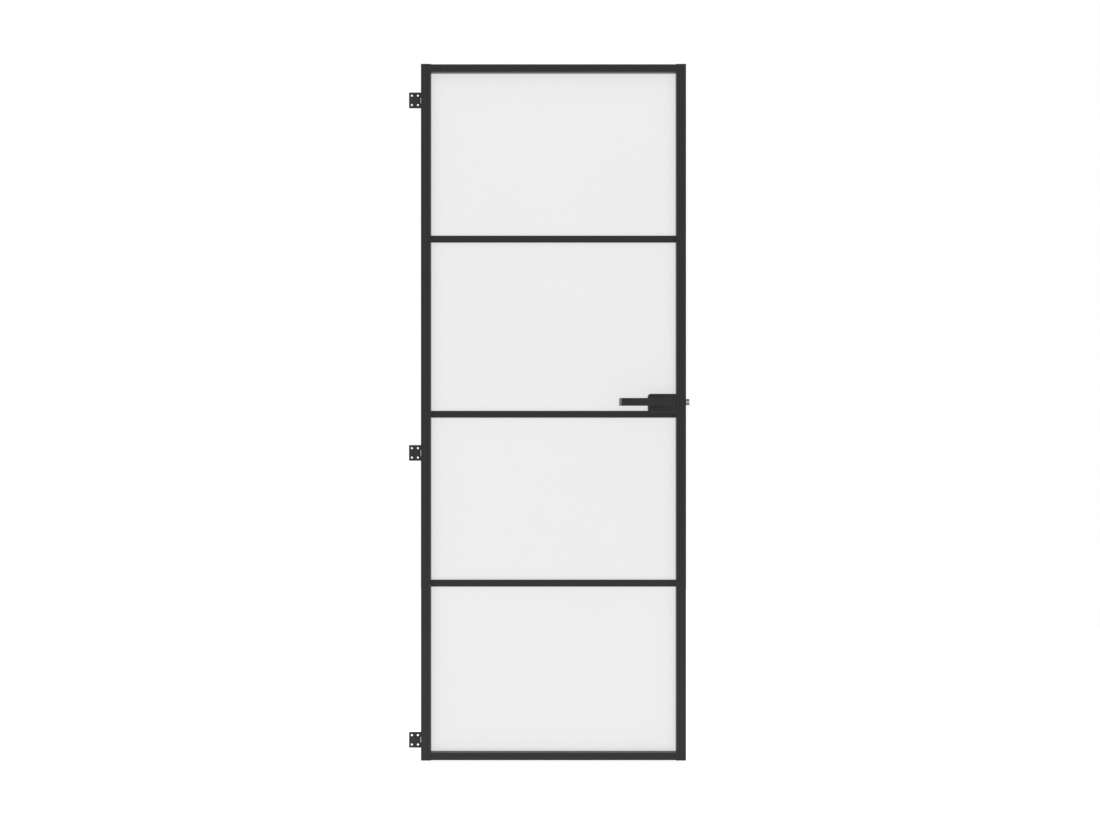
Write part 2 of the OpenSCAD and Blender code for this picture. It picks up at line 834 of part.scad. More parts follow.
// Outline of a front lever from above, as its offset from the spindle: a straight grip, and a leg
// that leans back towards the door at the tip
module lever_plan() {
    x1 = end_x - spindle_x;
    knee = [leg_l * cos(leg_lean) - lever_l, -grip_y];
    along = [-cos(leg_lean), sin(leg_lean)];
    inward = [sin(leg_lean), cos(leg_lean)];
    foot = knee + along * (leg_l - grip_round);
    mitre = [tan(leg_lean / 2), 1];
    polygon(concat(
        [[x1, lever_t - grip_y], [x1, -grip_y]],
        arc(knee + mitre * bend_r, bend_r, 270, 270 - leg_lean, 8),
        arc(foot + inward * grip_round, grip_round, 270 - leg_lean, 180 - leg_lean),
        arc(foot + inward * (lever_t - grip_round), grip_round, 180 - leg_lean, 90 - leg_lean),
        arc(knee + mitre * (lever_t + fillet_r), fillet_r, 270 - leg_lean, 270)
    ));
}

module lever() {
    half = lever_h / 2;
    x1 = end_x - spindle_x;
    translate([spindle_x, 0, spindle_z]) difference() {
        union() {
            intersection() {
                translate([0, 0, -half]) linear_extrude(lever_h) lever_plan();
                slab_x(-lever_l - over, x1 + over)
                    polygon(rounded(-grip_y, -half, 0, half, grip_round));
                slab_y(-grip_y - over, 0)
                    polygon(rounded(-lever_l, -half, x1, half, grip_corner));
            }
            rod_y(0, lever_t - grip_y - over, -bush_in, 0, neck_r);
        }
        slab_y(-socket_end, 0) square_hole(fit);
        rod_z(0, -set_screw_y, -neck_r - over, 0, set_screw_r);
    }
}

module front_lever() {
    color(paint) to_origin() lever();
}

module back_lever() {
    color(paint) to_origin() mirror([0, 1, 0]) lever();
}

module lever_set_screws() {
    low = spindle_z - neck_r + 0.6;
    color(zinc) to_origin() both_faces()
        rod_z(spindle_x, -set_screw_y, low, spindle_z - spindle_s / 2 - fit, set_screw_r - press);
}

hinge_stile();
lock_stile();
top_rail();
bottom_rail();
stile_end_caps();
corner_screws();
access_plugs();
glass_pane();
hinge_side_gasket();
lock_side_gasket();
top_gasket();
bottom_gasket();
front_bar(2);  // front_top_bar
front_bar(1);  // front_middle_bar
front_bar(0);  // front_bottom_bar
back_bar(2);  // back_top_bar
back_bar(1);  // back_middle_bar
back_bar(0);  // back_bottom_bar
bar_tapes();
jamb_plate(hinge_zs[0]);  // jamb_plate_top
jamb_plate(hinge_zs[1]);  // jamb_plate_middle
jamb_plate(hinge_zs[2]);  // jamb_plate_bottom
hinge_plate(hinge_zs[0]);  // hinge_plate_top
hinge_plate(hinge_zs[1]);  // hinge_plate_middle
hinge_plate(hinge_zs[2]);  // hinge_plate_bottom
hinge_pin(hinge_zs[0]);  // hinge_pin_top
hinge_pin(hinge_zs[1]);  // hinge_pin_middle
hinge_pin(hinge_zs[2]);  // hinge_pin_bottom
hinge_washers();
hinge_backing_plates();
hinge_screws();
front_lock_cover();
back_lock_cover();
cover_pads();
cover_bolts();
latch_case();
latch_faceplate();
faceplate_screws();
latch_bolt();
bolt_strip();
latch_tail();
latch_spring();
lever_cam();
spindle();
lever_bushes();
lever_springs();
front_lever();
back_lever();
lever_set_screws();
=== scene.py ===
# A hinged leaf of frosted glass in a slim black aluminium frame, with three barrel hinges and a
# lever-worked latch, shown shut and square on in a white studio.
import json
import math

import bmesh
import bpy
from mathutils import Matrix, Vector


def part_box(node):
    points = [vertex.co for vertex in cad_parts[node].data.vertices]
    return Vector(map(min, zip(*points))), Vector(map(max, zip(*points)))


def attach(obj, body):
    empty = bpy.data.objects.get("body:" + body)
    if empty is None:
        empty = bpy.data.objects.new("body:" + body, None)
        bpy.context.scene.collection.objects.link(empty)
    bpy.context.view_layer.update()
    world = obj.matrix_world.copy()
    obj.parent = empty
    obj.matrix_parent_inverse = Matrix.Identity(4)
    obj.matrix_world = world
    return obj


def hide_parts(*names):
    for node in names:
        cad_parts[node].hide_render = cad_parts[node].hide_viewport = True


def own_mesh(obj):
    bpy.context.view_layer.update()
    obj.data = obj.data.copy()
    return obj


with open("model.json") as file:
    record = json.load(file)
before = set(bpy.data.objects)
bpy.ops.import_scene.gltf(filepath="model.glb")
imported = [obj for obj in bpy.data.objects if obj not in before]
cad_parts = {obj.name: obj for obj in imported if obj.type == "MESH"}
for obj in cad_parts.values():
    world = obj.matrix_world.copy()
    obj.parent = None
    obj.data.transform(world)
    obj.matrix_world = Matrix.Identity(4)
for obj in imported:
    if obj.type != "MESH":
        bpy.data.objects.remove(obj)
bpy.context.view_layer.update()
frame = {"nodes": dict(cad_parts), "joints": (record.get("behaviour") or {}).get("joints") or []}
MM = 0.001


# ---- Studio ----------------------------------------------------------------------------------
# A white room: a pale floor just under the leaf's foot, an even white surround, and soft boxes
# above and to both sides. The camera stands level with the middle of the leaf, square on to it.
leaf_low, leaf_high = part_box("stile_end_caps")
leaf_mid = (leaf_low + leaf_high) / 2
CAMERA_AWAY = 3.2
CAMERA_SIDE = -0.0101
CAMERA_UP = 0.0006
VIEW_WIDTH = 3.181
FLOOR_R = 3.2
FLOOR_GAP = 0.008
FLOOR_TONE = 0.3
FLOOR_GLOW = 0.9
SURROUND = 1.0

scene = bpy.context.scene
scene.view_settings.view_transform = "Standard"

world = bpy.data.worlds.new("white_room")
scene.world = world
world.use_nodes = True
world.node_tree.nodes["Background"].inputs["Color"].default_value = (1, 1, 1, 1)
world.node_tree.nodes["Background"].inputs["Strength"].default_value = SURROUND

camera_data = bpy.data.cameras.new("camera")
camera = bpy.data.objects.new("camera", camera_data)
scene.collection.objects.link(camera)
camera.location = (leaf_mid.x + CAMERA_SIDE, leaf_low.y - CAMERA_AWAY, leaf_mid.z + CAMERA_UP)
camera.rotation_euler = (math.radians(90), 0, 0)
camera_data.lens = camera_data.sensor_width * CAMERA_AWAY / VIEW_WIDTH
camera_data.clip_end = 50
scene.camera = camera


def soft_box(name, place, width, height, power):
    """A rectangular studio lamp at this place, aimed at the middle of the leaf."""
    data = bpy.data.lights.new(name, "AREA")
    data.shape = "RECTANGLE"
    data.size = width
    data.size_y = height
    data.energy = power
    lamp = bpy.data.objects.new(name, data)
    scene.collection.objects.link(lamp)
    lamp.location = leaf_mid + Vector(place)
    lamp.rotation_euler = Vector(place).to_track_quat("Z", "Y").to_euler()
    lamp.visible_camera = False


soft_box("box_left", place=(-2.6, -2.2, 0.6), width=1.2, height=2.2, power=14)
soft_box("box_right", place=(2.6, -2.2, 0.6), width=1.2, height=2.2, power=10)
soft_box("box_above", place=(0, 0.4, 2.6), width=3.0, height=3.0, power=60)

bm = bmesh.new()
bmesh.ops.create_circle(bm, cap_ends=True, segments=96, radius=FLOOR_R)
bmesh.ops.translate(bm, vec=(leaf_mid.x, leaf_mid.y, leaf_low.z - FLOOR_GAP), verts=bm.verts)
floor_mesh = bpy.data.meshes.new("floor")
bm.to_mesh(floor_mesh)
bm.free()
floor = bpy.data.objects.new("floor", floor_mesh)
scene.collection.objects.link(floor)
floor_paint = bpy.data.materials.new("pale_floor")
floor_paint.use_nodes = True
floor_shader = floor_paint.node_tree.nodes["Principled BSDF"]
floor_shader.inputs["Base Color"].default_value = (FLOOR_TONE, FLOOR_TONE, FLOOR_TONE, 1)
floor_shader.inputs["Roughness"].default_value = 0.8
floor_shader.inputs["Emission Color"].default_value = (1, 1, 1, 1)
floor_shader.inputs["Emission Strength"].default_value = FLOOR_GLOW
floor_mesh.materials.append(floor_paint)


# ---- Stiles, rails and bars ------------------------------------------------------------------
# Aluminium extrusions, cut to length and powder coated satin black: the frame is screwed together
# round the pane, and the bars are stuck on its faces. The coat has a fine orange-peel skin.
def node_group(name, inputs, outputs):
    """An empty shader group with these sockets, its input node and its output node."""
    group = bpy.data.node_groups.new(name, "ShaderNodeTree")
    for label, kind, value in inputs:
        socket = group.interface.new_socket(label, in_out="INPUT", socket_type=kind)
        socket.default_value = value
    for label, kind in outputs:
        group.interface.new_socket(label, in_out="OUTPUT", socket_type=kind)
    return group, group.nodes.new("NodeGroupInput"), group.nodes.new("NodeGroupOutput")


def coat_group():
    """Powder coat: a mottled tone, a mottled gloss and an orange-peel normal."""
    group, given, result = node_group(
        "powder_coat",
        [
            ("Colour", "NodeSocketColor", (0.02, 0.02, 0.02, 1)),
            ("Gloss", "NodeSocketFloat", 0.45),
            ("Peel Size", "NodeSocketFloat", 900.0),
            ("Peel Depth", "NodeSocketFloat", 0.12),
            ("Mottle", "NodeSocketFloat", 0.1),
        ],
        [("Colour", "NodeSocketColor"), ("Roughness", "NodeSocketFloat"), ("Normal", "NodeSocketVector")],
    )
    nodes, links = group.nodes, group.links
    place = nodes.new("ShaderNodeTexCoord")
    peel = nodes.new("ShaderNodeTexNoise")
    peel.inputs["Detail"].default_value = 2
    peel.inputs["Roughness"].default_value = 0.55
    cloud = nodes.new("ShaderNodeTexNoise")
    cloud.inputs["Scale"].default_value = 14
    cloud.inputs["Detail"].default_value = 5
    links.new(place.outputs["Object"], peel.inputs["Vector"])
    links.new(place.outputs["Object"], cloud.inputs["Vector"])
    links.new(given.outputs["Peel Size"], peel.inputs["Scale"])
    bump = nodes.new("ShaderNodeBump")
    bump.inputs["Distance"].default_value = 0.0002
    links.new(given.outputs["Peel Depth"], bump.inputs["Strength"])
    links.new(peel.outputs["Fac"], bump.inputs["Height"])
    links.new(bump.outputs["Normal"], result.inputs["Normal"])
    swing = nodes.new("ShaderNodeMath")
    swing.operation = "SUBTRACT"
    links.new(cloud.outputs["Fac"], swing.inputs[0])
    swing.inputs[1].default_value = 0.5
    amount = nodes.new("ShaderNodeMath")
    amount.operation = "MULTIPLY"
    links.new(swing.outputs[0], amount.inputs[0])
    links.new(given.outputs["Mottle"], amount.inputs[1])
    rough = nodes.new("ShaderNodeMath")
    rough.operation = "ADD"
    links.new(given.outputs["Gloss"], rough.inputs[0])
    links.new(amount.outputs[0], rough.inputs[1])
    links.new(rough.outputs[0], result.inputs["Roughness"])
    lift = nodes.new("ShaderNodeMath")
    lift.operation = "ADD"
    lift.inputs[1].default_value = 1
    links.new(amount.outputs[0], lift.inputs[0])
    tone = nodes.new("ShaderNodeVectorMath")
    tone.operation = "SCALE"
    links.new(given.outputs["Colour"], tone.inputs[0])
    links.new(lift.outputs[0], tone.inputs["Scale"])
    links.new(tone.outputs[0], result.inputs["Colour"])
    return group


POWDER_COAT = coat_group()


def coated(name, colour, gloss, peel_size, peel_depth, mottle, specular):
    """A painted, moulded or rubber finish: the shared skin with this tone, gloss and grain."""
    material = bpy.data.materials.new(name)
    material.use_nodes = True
    nodes, links = material.node_tree.nodes, material.node_tree.links
    shader = nodes["Principled BSDF"]
    shader.inputs["Specular IOR Level"].default_value = specular
    skin = nodes.new("ShaderNodeGroup")
    skin.node_tree = POWDER_COAT
    skin.inputs["Colour"].default_value = (*colour, 1)
    skin.inputs["Gloss"].default_value = gloss
    skin.inputs["Peel Size"].default_value = peel_size
    skin.inputs["Peel Depth"].default_value = peel_depth
    skin.inputs["Mottle"].default_value = mottle
    links.new(skin.outputs["Colour"], shader.inputs["Base Color"])
    links.new(skin.outputs["Roughness"], shader.inputs["Roughness"])
    links.new(skin.outputs["Normal"], shader.inputs["Normal"])
    return material


def finish_nodes(material, *names):
    """Gives these CAD nodes this finish."""
    for name in names:
        mesh = frame["nodes"][name].data
        mesh.materials.clear()
        mesh.materials.append(material)


black_coat = coated(
    "black_powder_coat", (0.012, 0.012, 0.012),
    gloss=0.24, peel_size=900, peel_depth=0.1, mottle=0.08, specular=0.27
)
finish_nodes(black_coat, "hinge_stile", "lock_stile", "top_rail", "bottom_rail")
finish_nodes(black_coat, "front_top_bar", "front_middle_bar", "front_bottom_bar")
finish_nodes(black_coat, "back_top_bar", "back_middle_bar", "back_bottom_bar")


# ---- End caps and plugs ----------------------------------------------------------------------
# Moulded nylon: flat caps over the open ends of the stiles, and round plugs in the holes through
# which the corner screws are driven. Their skin is a fine spark-eroded grain.
black_nylon = coated(
    "black_moulded_nylon", (0.016, 0.016, 0.016),
    gloss=0.6, peel_size=1600, peel_depth=0.25, mottle=0.08, specular=0.35
)
finish_nodes(black_nylon, "stile_end_caps", "access_plugs")


# ---- Glass -----------------------------------------------------------------------------------
# One pane of toughened glass, 5 mm thick, etched to an even milky satin and notched at the latch.
# Its etched skin scatters the light, and its body is faintly cloudy. The body also carries a painted glow:
# it gives off light of its own, which lifts the shade that the frame casts on the pane near its edges.
MILK = 0.23
MILK_SWING = 0.006
# Painted glow: the pane's emission strength, a self-lit brightness that stands in for scattered light and
# lifts the shade near the frame.
PAINTED_GLOW = 0.505


def frosted_glass():
    """Etched glass: a rough, half-clear skin over a body with a painted glow, light it gives off itself in
    place of light scattered through it.
    """
    material = bpy.data.materials.new("frosted_glass")
    material.use_nodes = True
    nodes, links = material.node_tree.nodes, material.node_tree.links
    shader = nodes["Principled BSDF"]
    shader.inputs["Roughness"].default_value = 0.6
    shader.inputs["Emission Color"].default_value = (1, 1, 1, 1)
    # Painted glow: the pane gives off light of its own, though it is no lamp.
    shader.inputs["Emission Strength"].default_value = PAINTED_GLOW
    shader.inputs["IOR"].default_value = 1.5
    shader.inputs["Transmission Weight"].default_value = 0.3
    place = nodes.new("ShaderNodeTexCoord")
    cloud = nodes.new("ShaderNodeTexNoise")
    cloud.inputs["Scale"].default_value = 3
    cloud.inputs["Detail"].default_value = 4
    milk = nodes.new("ShaderNodeMix")
    milk.data_type = "RGBA"
    for end, tone in (("A", MILK - MILK_SWING), ("B", MILK + MILK_SWING)):
        milk.inputs[end].default_value = (tone, tone, tone, 1)
    links.new(place.outputs["Object"], cloud.inputs["Vector"])
    links.new(cloud.outputs["Fac"], milk.inputs["Factor"])
    links.new(milk.outputs["Result"], shader.inputs["Base Color"])
    etch = nodes.new("ShaderNodeTexNoise")
    etch.inputs["Scale"].default_value = 2600
    etch.inputs["Detail"].default_value = 2
    bump = nodes.new("ShaderNodeBump")
    bump.inputs["Strength"].default_value = 0.2
    bump.inputs["Distance"].default_value = 0.0001
    links.new(place.outputs["Object"], etch.inputs["Vector"])
    links.new(etch.outputs["Fac"], bump.inputs["Height"])
    links.new(bump.outputs["Normal"], shader.inputs["Normal"])
    return material


finish_nodes(frosted_glass(), "glass_pane")


# ---- Rubber ----------------------------------------------------------------------------------
# Extruded channels that hold the pane's edges in the frame, foam tapes under the bars and pads
# under the lock covers. Dull black, with a faint bloom.
black_rubber = coated(
    "black_rubber", (0.014, 0.014, 0.014),
    gloss=0.8, peel_size=700, peel_depth=0.2, mottle=0.2, specular=0.3
)
finish_nodes(black_rubber, "hinge_side_gasket", "lock_side_gasket", "top_gasket", "bottom_gasket")
finish_nodes(black_rubber, "bar_tapes", "cover_pads")


# ---- Hinges ----------------------------------------------------------------------------------
# Steel plates rolled round a pin, coated black: one half on the jamb, the other screwed through
# the stile into a backing plate. The pins are plated and the washers are nylon.
GLOSS_SWING = 0.08


def metal(name, colour, gloss, grain_stretch, grain_depth):
    """Bare or plated metal with a drawn grain, which runs along the axis of the small stretch."""
    material = bpy.data.materials.new(name)
    material.use_nodes = True
    nodes, links = material.node_tree.nodes, material.node_tree.links
    shader = nodes["Principled BSDF"]
    shader.inputs["Base Color"].default_value = (*colour, 1)
    shader.inputs["Metallic"].default_value = 1
    place = nodes.new("ShaderNodeTexCoord")
    stretch = nodes.new("ShaderNodeMapping")
    stretch.inputs["Scale"].default_value = grain_stretch
    grain = nodes.new("ShaderNodeTexNoise")
    grain.inputs["Scale"].default_value = 600
    grain.inputs["Detail"].default_value = 3
    spread = nodes.new("ShaderNodeMapRange")
    spread.inputs["To Min"].default_value = gloss - GLOSS_SWING
    spread.inputs["To Max"].default_value = gloss + GLOSS_SWING
    bump = nodes.new("ShaderNodeBump")
    bump.inputs["Strength"].default_value = grain_depth
    bump.inputs["Distance"].default_value = 0.0001
    links.new(place.outputs["Object"], stretch.inputs["Vector"])
    links.new(stretch.outputs["Vector"], grain.inputs["Vector"])
    links.new(grain.outputs["Fac"], spread.inputs["Value"])
    links.new(spread.outputs["Result"], shader.inputs["Roughness"])
    links.new(grain.outputs["Fac"], bump.inputs["Height"])
    links.new(bump.outputs["Normal"], shader.inputs["Normal"])
    return material


TOUCHING = 0.01 * MM
TURNED_STEPS = 48
SMOOTH_BELOW = math.radians(38)
LOBES = 6
LOBE_DIP = 0.14
RECESS_TAPER = 0.88
HEAD_EDGE_SHARE = 0.06
RECESS_RIM_SHARE = 0.36
RECESS_DEPTH_SHARE = 0.3


def turned(outline):
    """A round solid: an outline of (radius, height) points spun about Z, and closed at its poles."""
    bm = bmesh.new()
    points = [bm.verts.new((radius, 0, height)) for radius, height in outline]
    edges = [bm.edges.new(pair) for pair in zip(points, points[1:])]
    bmesh.ops.spin(
        bm, geom=points + edges, cent=(0, 0, 0), axis=(0, 0, 1), angle=math.tau,
        steps=TURNED_STEPS, use_merge=True
    )
    bmesh.ops.remove_doubles(bm, verts=bm.verts, dist=TOUCHING)
    return bm


def arc(centre, radius, start, end, count=6):
    """Points on an arc of an outline, from one angle in degrees to another."""
    angles = [math.radians(start + (end - start) * i / count) for i in range(count + 1)]
    return [(centre[0] + radius * math.cos(a), centre[1] + radius * math.sin(a)) for a in angles]


def star(angle):
    """Reach of a six-lobed recess at an angle, as a share of its lobes' reach."""
    return 1 - LOBE_DIP + LOBE_DIP * math.cos(LOBES * angle)


def sink(bm, top, rim, depth, outline):
    """Sinks a driver's recess of this outline into a round face at the Z axis, inside a flat rim."""
    bmesh.ops.inset_region(bm, faces=[top], thickness=rim)
    for vert in top.verts:
        reach = outline(math.atan2(vert.co.y, vert.co.x))
        bmesh.ops.scale(bm, vec=(reach, reach, 1), verts=[vert])
    recess = bmesh.ops.extrude_face_region(bm, geom=[top])
    recess_end = [part for part in recess["geom"] if isinstance(part, bmesh.types.BMVert)]
    bmesh.ops.translate(bm, vec=(0, 0, -depth), verts=recess_end)
    bmesh.ops.scale(bm, vec=(RECESS_TAPER, RECESS_TAPER, 1), verts=recess_end)
    bmesh.ops.delete(bm, geom=[top], context="FACES_ONLY")


def countersunk(head_r, shank_r, head_h, length):
    """A countersunk screw whose head lies in the XY plane and looks up, with a six-lobed recess."""
    bm = bmesh.new()
    bmesh.ops.create_cone(bm, cap_ends=True, segments=24, radius1=shank_r, radius2=head_r, depth=head_h)
    bmesh.ops.translate(bm, vec=(0, 0, -head_h / 2), verts=bm.verts)
    top = max(bm.faces, key=lambda face: face.calc_center_median().z)
    foot = min(bm.faces, key=lambda face: face.calc_center_median().z)
    shank = bmesh.ops.extrude_face_region(bm, geom=[foot])
    shank_end = [part for part in shank["geom"] if isinstance(part, bmesh.types.BMVert)]
    bmesh.ops.translate(bm, vec=(0, 0, head_h - length), verts=shank_end)
    bmesh.ops.delete(bm, geom=[foot], context="FACES_ONLY")
    head_edge = HEAD_EDGE_SHARE * head_r
    bmesh.ops.inset_region(bm, faces=[top], thickness=head_edge, depth=head_edge / 2)
    sink(bm, top, RECESS_RIM_SHARE * head_r, RECESS_DEPTH_SHARE * head_r, star)
    return bm


def add_copies(bm, part, places):
    """Adds a copy of a part to a shape at each of these places; the part is used up."""
    mesh = bpy.data.meshes.new("part")
    part.to_mesh(mesh)
    part.free()
    for place in places:
        have = len(bm.verts)
        bm.from_mesh(mesh)
        bm.verts.ensure_lookup_table()
        bmesh.ops.transform(bm, matrix=place, verts=bm.verts[have:])
    bpy.data.meshes.remove(mesh)


def piece(name, bm, material, body, slot, *nodes):
    """Makes a finished bmesh a piece that rides on a body and stands for these CAD nodes."""
    bmesh.ops.recalc_face_normals(bm, faces=bm.faces)
    mesh = bpy.data.meshes.new(name)
    bm.to_mesh(mesh)
    bm.free()
    mesh.polygons.foreach_set("use_smooth", [True] * len(mesh.polygons))
    mesh.set_sharp_from_angle(angle=SMOOTH_BELOW)
    mesh.materials.append(material)
    made = bpy.data.objects.new(name, mesh)
    scene.collection.objects.link(made)
    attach(made, body)
    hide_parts(*nodes)
    return made


FACE_BACK = Matrix.Rotation(math.radians(-90), 4, "X")
FACE_LATCH = Matrix.Rotation(math.radians(90), 4, "Y")

hinge_coat = coated(
    "black_hinge_coat", (0.012, 0.012, 0.012),
    gloss=0.48, peel_size=1100, peel_depth=0.1, mottle=0.1, specular=0.35
)
white_nylon = coated(
    "white_nylon", (0.36, 0.36, 0.35),
    gloss=0.5, peel_size=1200, peel_depth=0.1, mottle=0.05, specular=0.5
)
plated = metal("nickel_plate", (0.55, 0.55, 0.56), gloss=0.32, grain_stretch=(1, 1, 0.05), grain_depth=0.1)
zinc = metal("zinc_plate", (0.55, 0.56, 0.55), gloss=0.42, grain_stretch=(0.1, 1, 1), grain_depth=0.15)
PLATE_T = 2.5 * MM
PIN_R = 2.5 * MM
PIN_CHAMFER = 0.4 * MM
PIN_HEAD_R = 4 * MM
PIN_HEAD_H = 1.6 * MM
PIN_HEAD_ROUND = 0.6 * MM
PIN_DOME_H = 0.2 * MM
PIN_CROWN_R = 2.4 * MM
PIN_CROWN_H = 0.04 * MM
SCREW_HEAD_R = 4 * MM
SCREW_HEAD_H = 2.1 * MM
SCREW_R = 2 * MM
SCREW_L = 9.1 * MM
SCREW_IN = (16.5 * MM, 5.5 * MM)
SCREW_APART = 27.5 * MM
TURN_WITH_REACH = 900
TURN_WITH_HEIGHT = 7 / SCREW_APART
screw_places = []
for height in ("top", "middle", "bottom"):
    finish_nodes(hinge_coat, "jamb_plate_" + height, "hinge_plate_" + height)
    low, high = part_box("hinge_pin_" + height)
    pin_l = high.z - low.z
    pin = [(0.0, 0.0), (PIN_CROWN_R, -PIN_CROWN_H)]
    pin += arc((PIN_HEAD_R - PIN_HEAD_ROUND, -PIN_DOME_H - PIN_HEAD_ROUND), PIN_HEAD_ROUND, 75, 0)
    pin += [(PIN_HEAD_R, -PIN_HEAD_H), (PIN_R, -PIN_HEAD_H), (PIN_R, PIN_CHAMFER - pin_l)]
    pin += [(PIN_R - PIN_CHAMFER, -pin_l), (0.0, -pin_l)]
    bm = turned(pin)
    bmesh.ops.translate(bm, vec=((low.x + high.x) / 2, (low.y + high.y) / 2, high.z), verts=bm.verts)
    piece("pin_" + height, bm, plated, "jamb_side", "bright_steel", "hinge_pin_" + height)
    low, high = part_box("hinge_plate_" + height)
    face_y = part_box("hinge_stile")[1].y + PLATE_T
    for inward in SCREW_IN:
        for up in (-SCREW_APART / 2, SCREW_APART / 2):
            place = Vector((high.x - inward, face_y, (low.z + high.z) / 2 + up))
            # Each driven screw stops with its recess at an angle of its own.
            driven = Matrix.Rotation(TURN_WITH_HEIGHT * up + TURN_WITH_REACH * inward, 4, "Z")
            screw_places.append(Matrix.Translation(place) @ FACE_BACK @ driven)
bm = bmesh.new()
add_copies(bm, countersunk(SCREW_HEAD_R, SCREW_R, SCREW_HEAD_H, SCREW_L), screw_places)
piece("leaf_plate_screws", bm, hinge_coat, "door_leaf", "black_steel", "hinge_screws")
finish_nodes(white_nylon, "hinge_washers")
finish_nodes(zinc, "hinge_backing_plates", "corner_screws")


# ---- Lock covers -----------------------------------------------------------------------------
# Die-cast shells over the notch in the glass, one on each face, coated like the frame. Two bolts
# with the same heads as the hinge screws clamp them together.
finish_nodes(black_coat, "front_lock_cover", "back_lock_cover")
low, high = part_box("cover_bolts")
far_bolt = Vector((low.x + SCREW_HEAD_R, high.y, high.z - SCREW_HEAD_R))
near_bolt = Vector((high.x - SCREW_HEAD_R, high.y, low.z + SCREW_HEAD_R))
places = [Matrix.Translation(place) @ FACE_BACK for place in (far_bolt, near_bolt)]
bm = bmesh.new()
add_copies(bm, countersunk(SCREW_HEAD_R, SCREW_R, SCREW_HEAD_H, high.y - low.y), places)
piece("clamp_bolts", bm, hinge_coat, "door_leaf", "black_steel", "cover_bolts")


# ---- Latch -----------------------------------------------------------------------------------
# A tubular latch in the lock stile: a steel case behind a screwed faceplate, and a steel bolt with
# broken edges, drawn back by a tail against a spring. A nylon strip lines its slope and nose.
bolt_steel = metal(
    "bolt_steel", (0.145, 0.145, 0.15), gloss=0.38, grain_stretch=(0.05, 1, 1), grain_depth=0.2
)
finish_nodes(zinc, "latch_case", "latch_tail")
finish_nodes(hinge_coat, "latch_faceplate")
FACEPLATE_HEAD_R = 3.4 * MM
FACEPLATE_HEAD_H = 1.4 * MM
FACEPLATE_SCREW_R = 1.7 * MM
low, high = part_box("faceplate_screws")
heights = (low.z + FACEPLATE_HEAD_R, high.z - FACEPLATE_HEAD_R)
places = [Matrix.Translation((high.x, (low.y + high.y) / 2, z)) @ FACE_LATCH for z in heights]
bm = bmesh.new()
add_copies(bm, countersunk(FACEPLATE_HEAD_R, FACEPLATE_SCREW_R, FACEPLATE_HEAD_H, high.x - low.x), places)
piece("latch_plate_screws", bm, hinge_coat, "door_leaf", "black_steel", "faceplate_screws")

BROKEN_EDGE_R = 0.5 * MM
SLOPE_PAST_LEAF = 1 * MM
NOSE_T = 2 * MM
STRIP_T = 1.6 * MM
STRIP_AT_NOSE = 2 * MM
TAIL_T = 2 * MM
CUT_PAST = 1 * MM
bolt_low, bolt_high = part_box("latch_bolt")
slope_start = (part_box("lock_stile")[1].x + SLOPE_PAST_LEAF, bolt_low.y)
slope_end = (bolt_high.x, bolt_high.y - NOSE_T)


def raised(outline, low_z, high_z):
    """A solid: an outline seen from above, raised from one height to another."""
    bm = bmesh.new()
    plan = bm.faces.new([bm.verts.new((x, y, low_z)) for x, y in outline])
    walls = bmesh.ops.extrude_face_region(bm, geom=[plan])
    top = [part for part in walls["geom"] if isinstance(part, bmesh.types.BMVert)]
    bmesh.ops.translate(bm, vec=(0, 0, high_z - low_z), verts=top)
    bmesh.ops.recalc_face_normals(bm, faces=bm.faces)
    return bm


def round_edges(bm, edges, reach, segments):
    """Rounds these edges off, from this far away on each of their faces."""
    bmesh.ops.bevel(
        bm, geom=edges, offset=reach, offset_type="OFFSET", affect="EDGES",
        segments=segments, profile=0.5, material=-1
    )


def combine(bm, tool, operation):
    """What a DIFFERENCE or an INTERSECT leaves of a shape and a tool, which are both used up."""
    shapes = []
    for part in (bm, tool):
        mesh = bpy.data.meshes.new("part")
        part.to_mesh(mesh)
        part.free()
        shapes.append(bpy.data.objects.new("part", mesh))
        scene.collection.objects.link(shapes[-1])
    boolean = shapes[0].modifiers.new("combine", "BOOLEAN")
    boolean.operation = operation
    boolean.solver = "EXACT"
    boolean.object = shapes[1]
    rest = bmesh.new()
    rest.from_object(shapes[0], bpy.context.evaluated_depsgraph_get())
    for shape in shapes:
        mesh = shape.data
        bpy.data.objects.remove(shape)
        bpy.data.meshes.remove(mesh)
    return rest


def whole_bolt():
    """The bolt together with its strip, as one solid with every edge broken."""
    back = [(bolt_low.x, bolt_high.y), (bolt_low.x, bolt_low.y)]
    nose = [slope_start, slope_end, (bolt_high.x, bolt_high.y)]
    bm = raised(back + nose, bolt_low.z, bolt_high.z)
    round_edges(bm, bm.edges[:], BROKEN_EDGE_R, segments=4)
    return bm


def strip_room():
    """The room that the strip takes up, carried on past the slope and the nose."""
    start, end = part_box("bolt_strip")
    inner = [(start.x, bolt_low.y + STRIP_T)]
    inner += [(x - STRIP_AT_NOSE, y + STRIP_T) for x, y in (slope_start, slope_end)]
    inner.append((bolt_high.x - STRIP_AT_NOSE, bolt_high.y + CUT_PAST))
    outer = [(bolt_high.x + CUT_PAST, y) for y in (bolt_high.y + CUT_PAST, bolt_low.y - CUT_PAST)]
    outer.append((start.x, bolt_low.y - CUT_PAST))
    return raised(inner + outer, start.z, end.z)


def tail_room():
    """The notch in the bolt's upper back corner that takes the foot of the tail."""
    foot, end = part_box("latch_tail")
    side = (end.y - TAIL_T, bolt_high.y + CUT_PAST)
    back = bolt_low.x - CUT_PAST
    outline = [(back, side[0]), (end.x, side[0]), (end.x, side[1]), (back, side[1])]
    return raised(outline, foot.z, bolt_high.z + CUT_PAST)


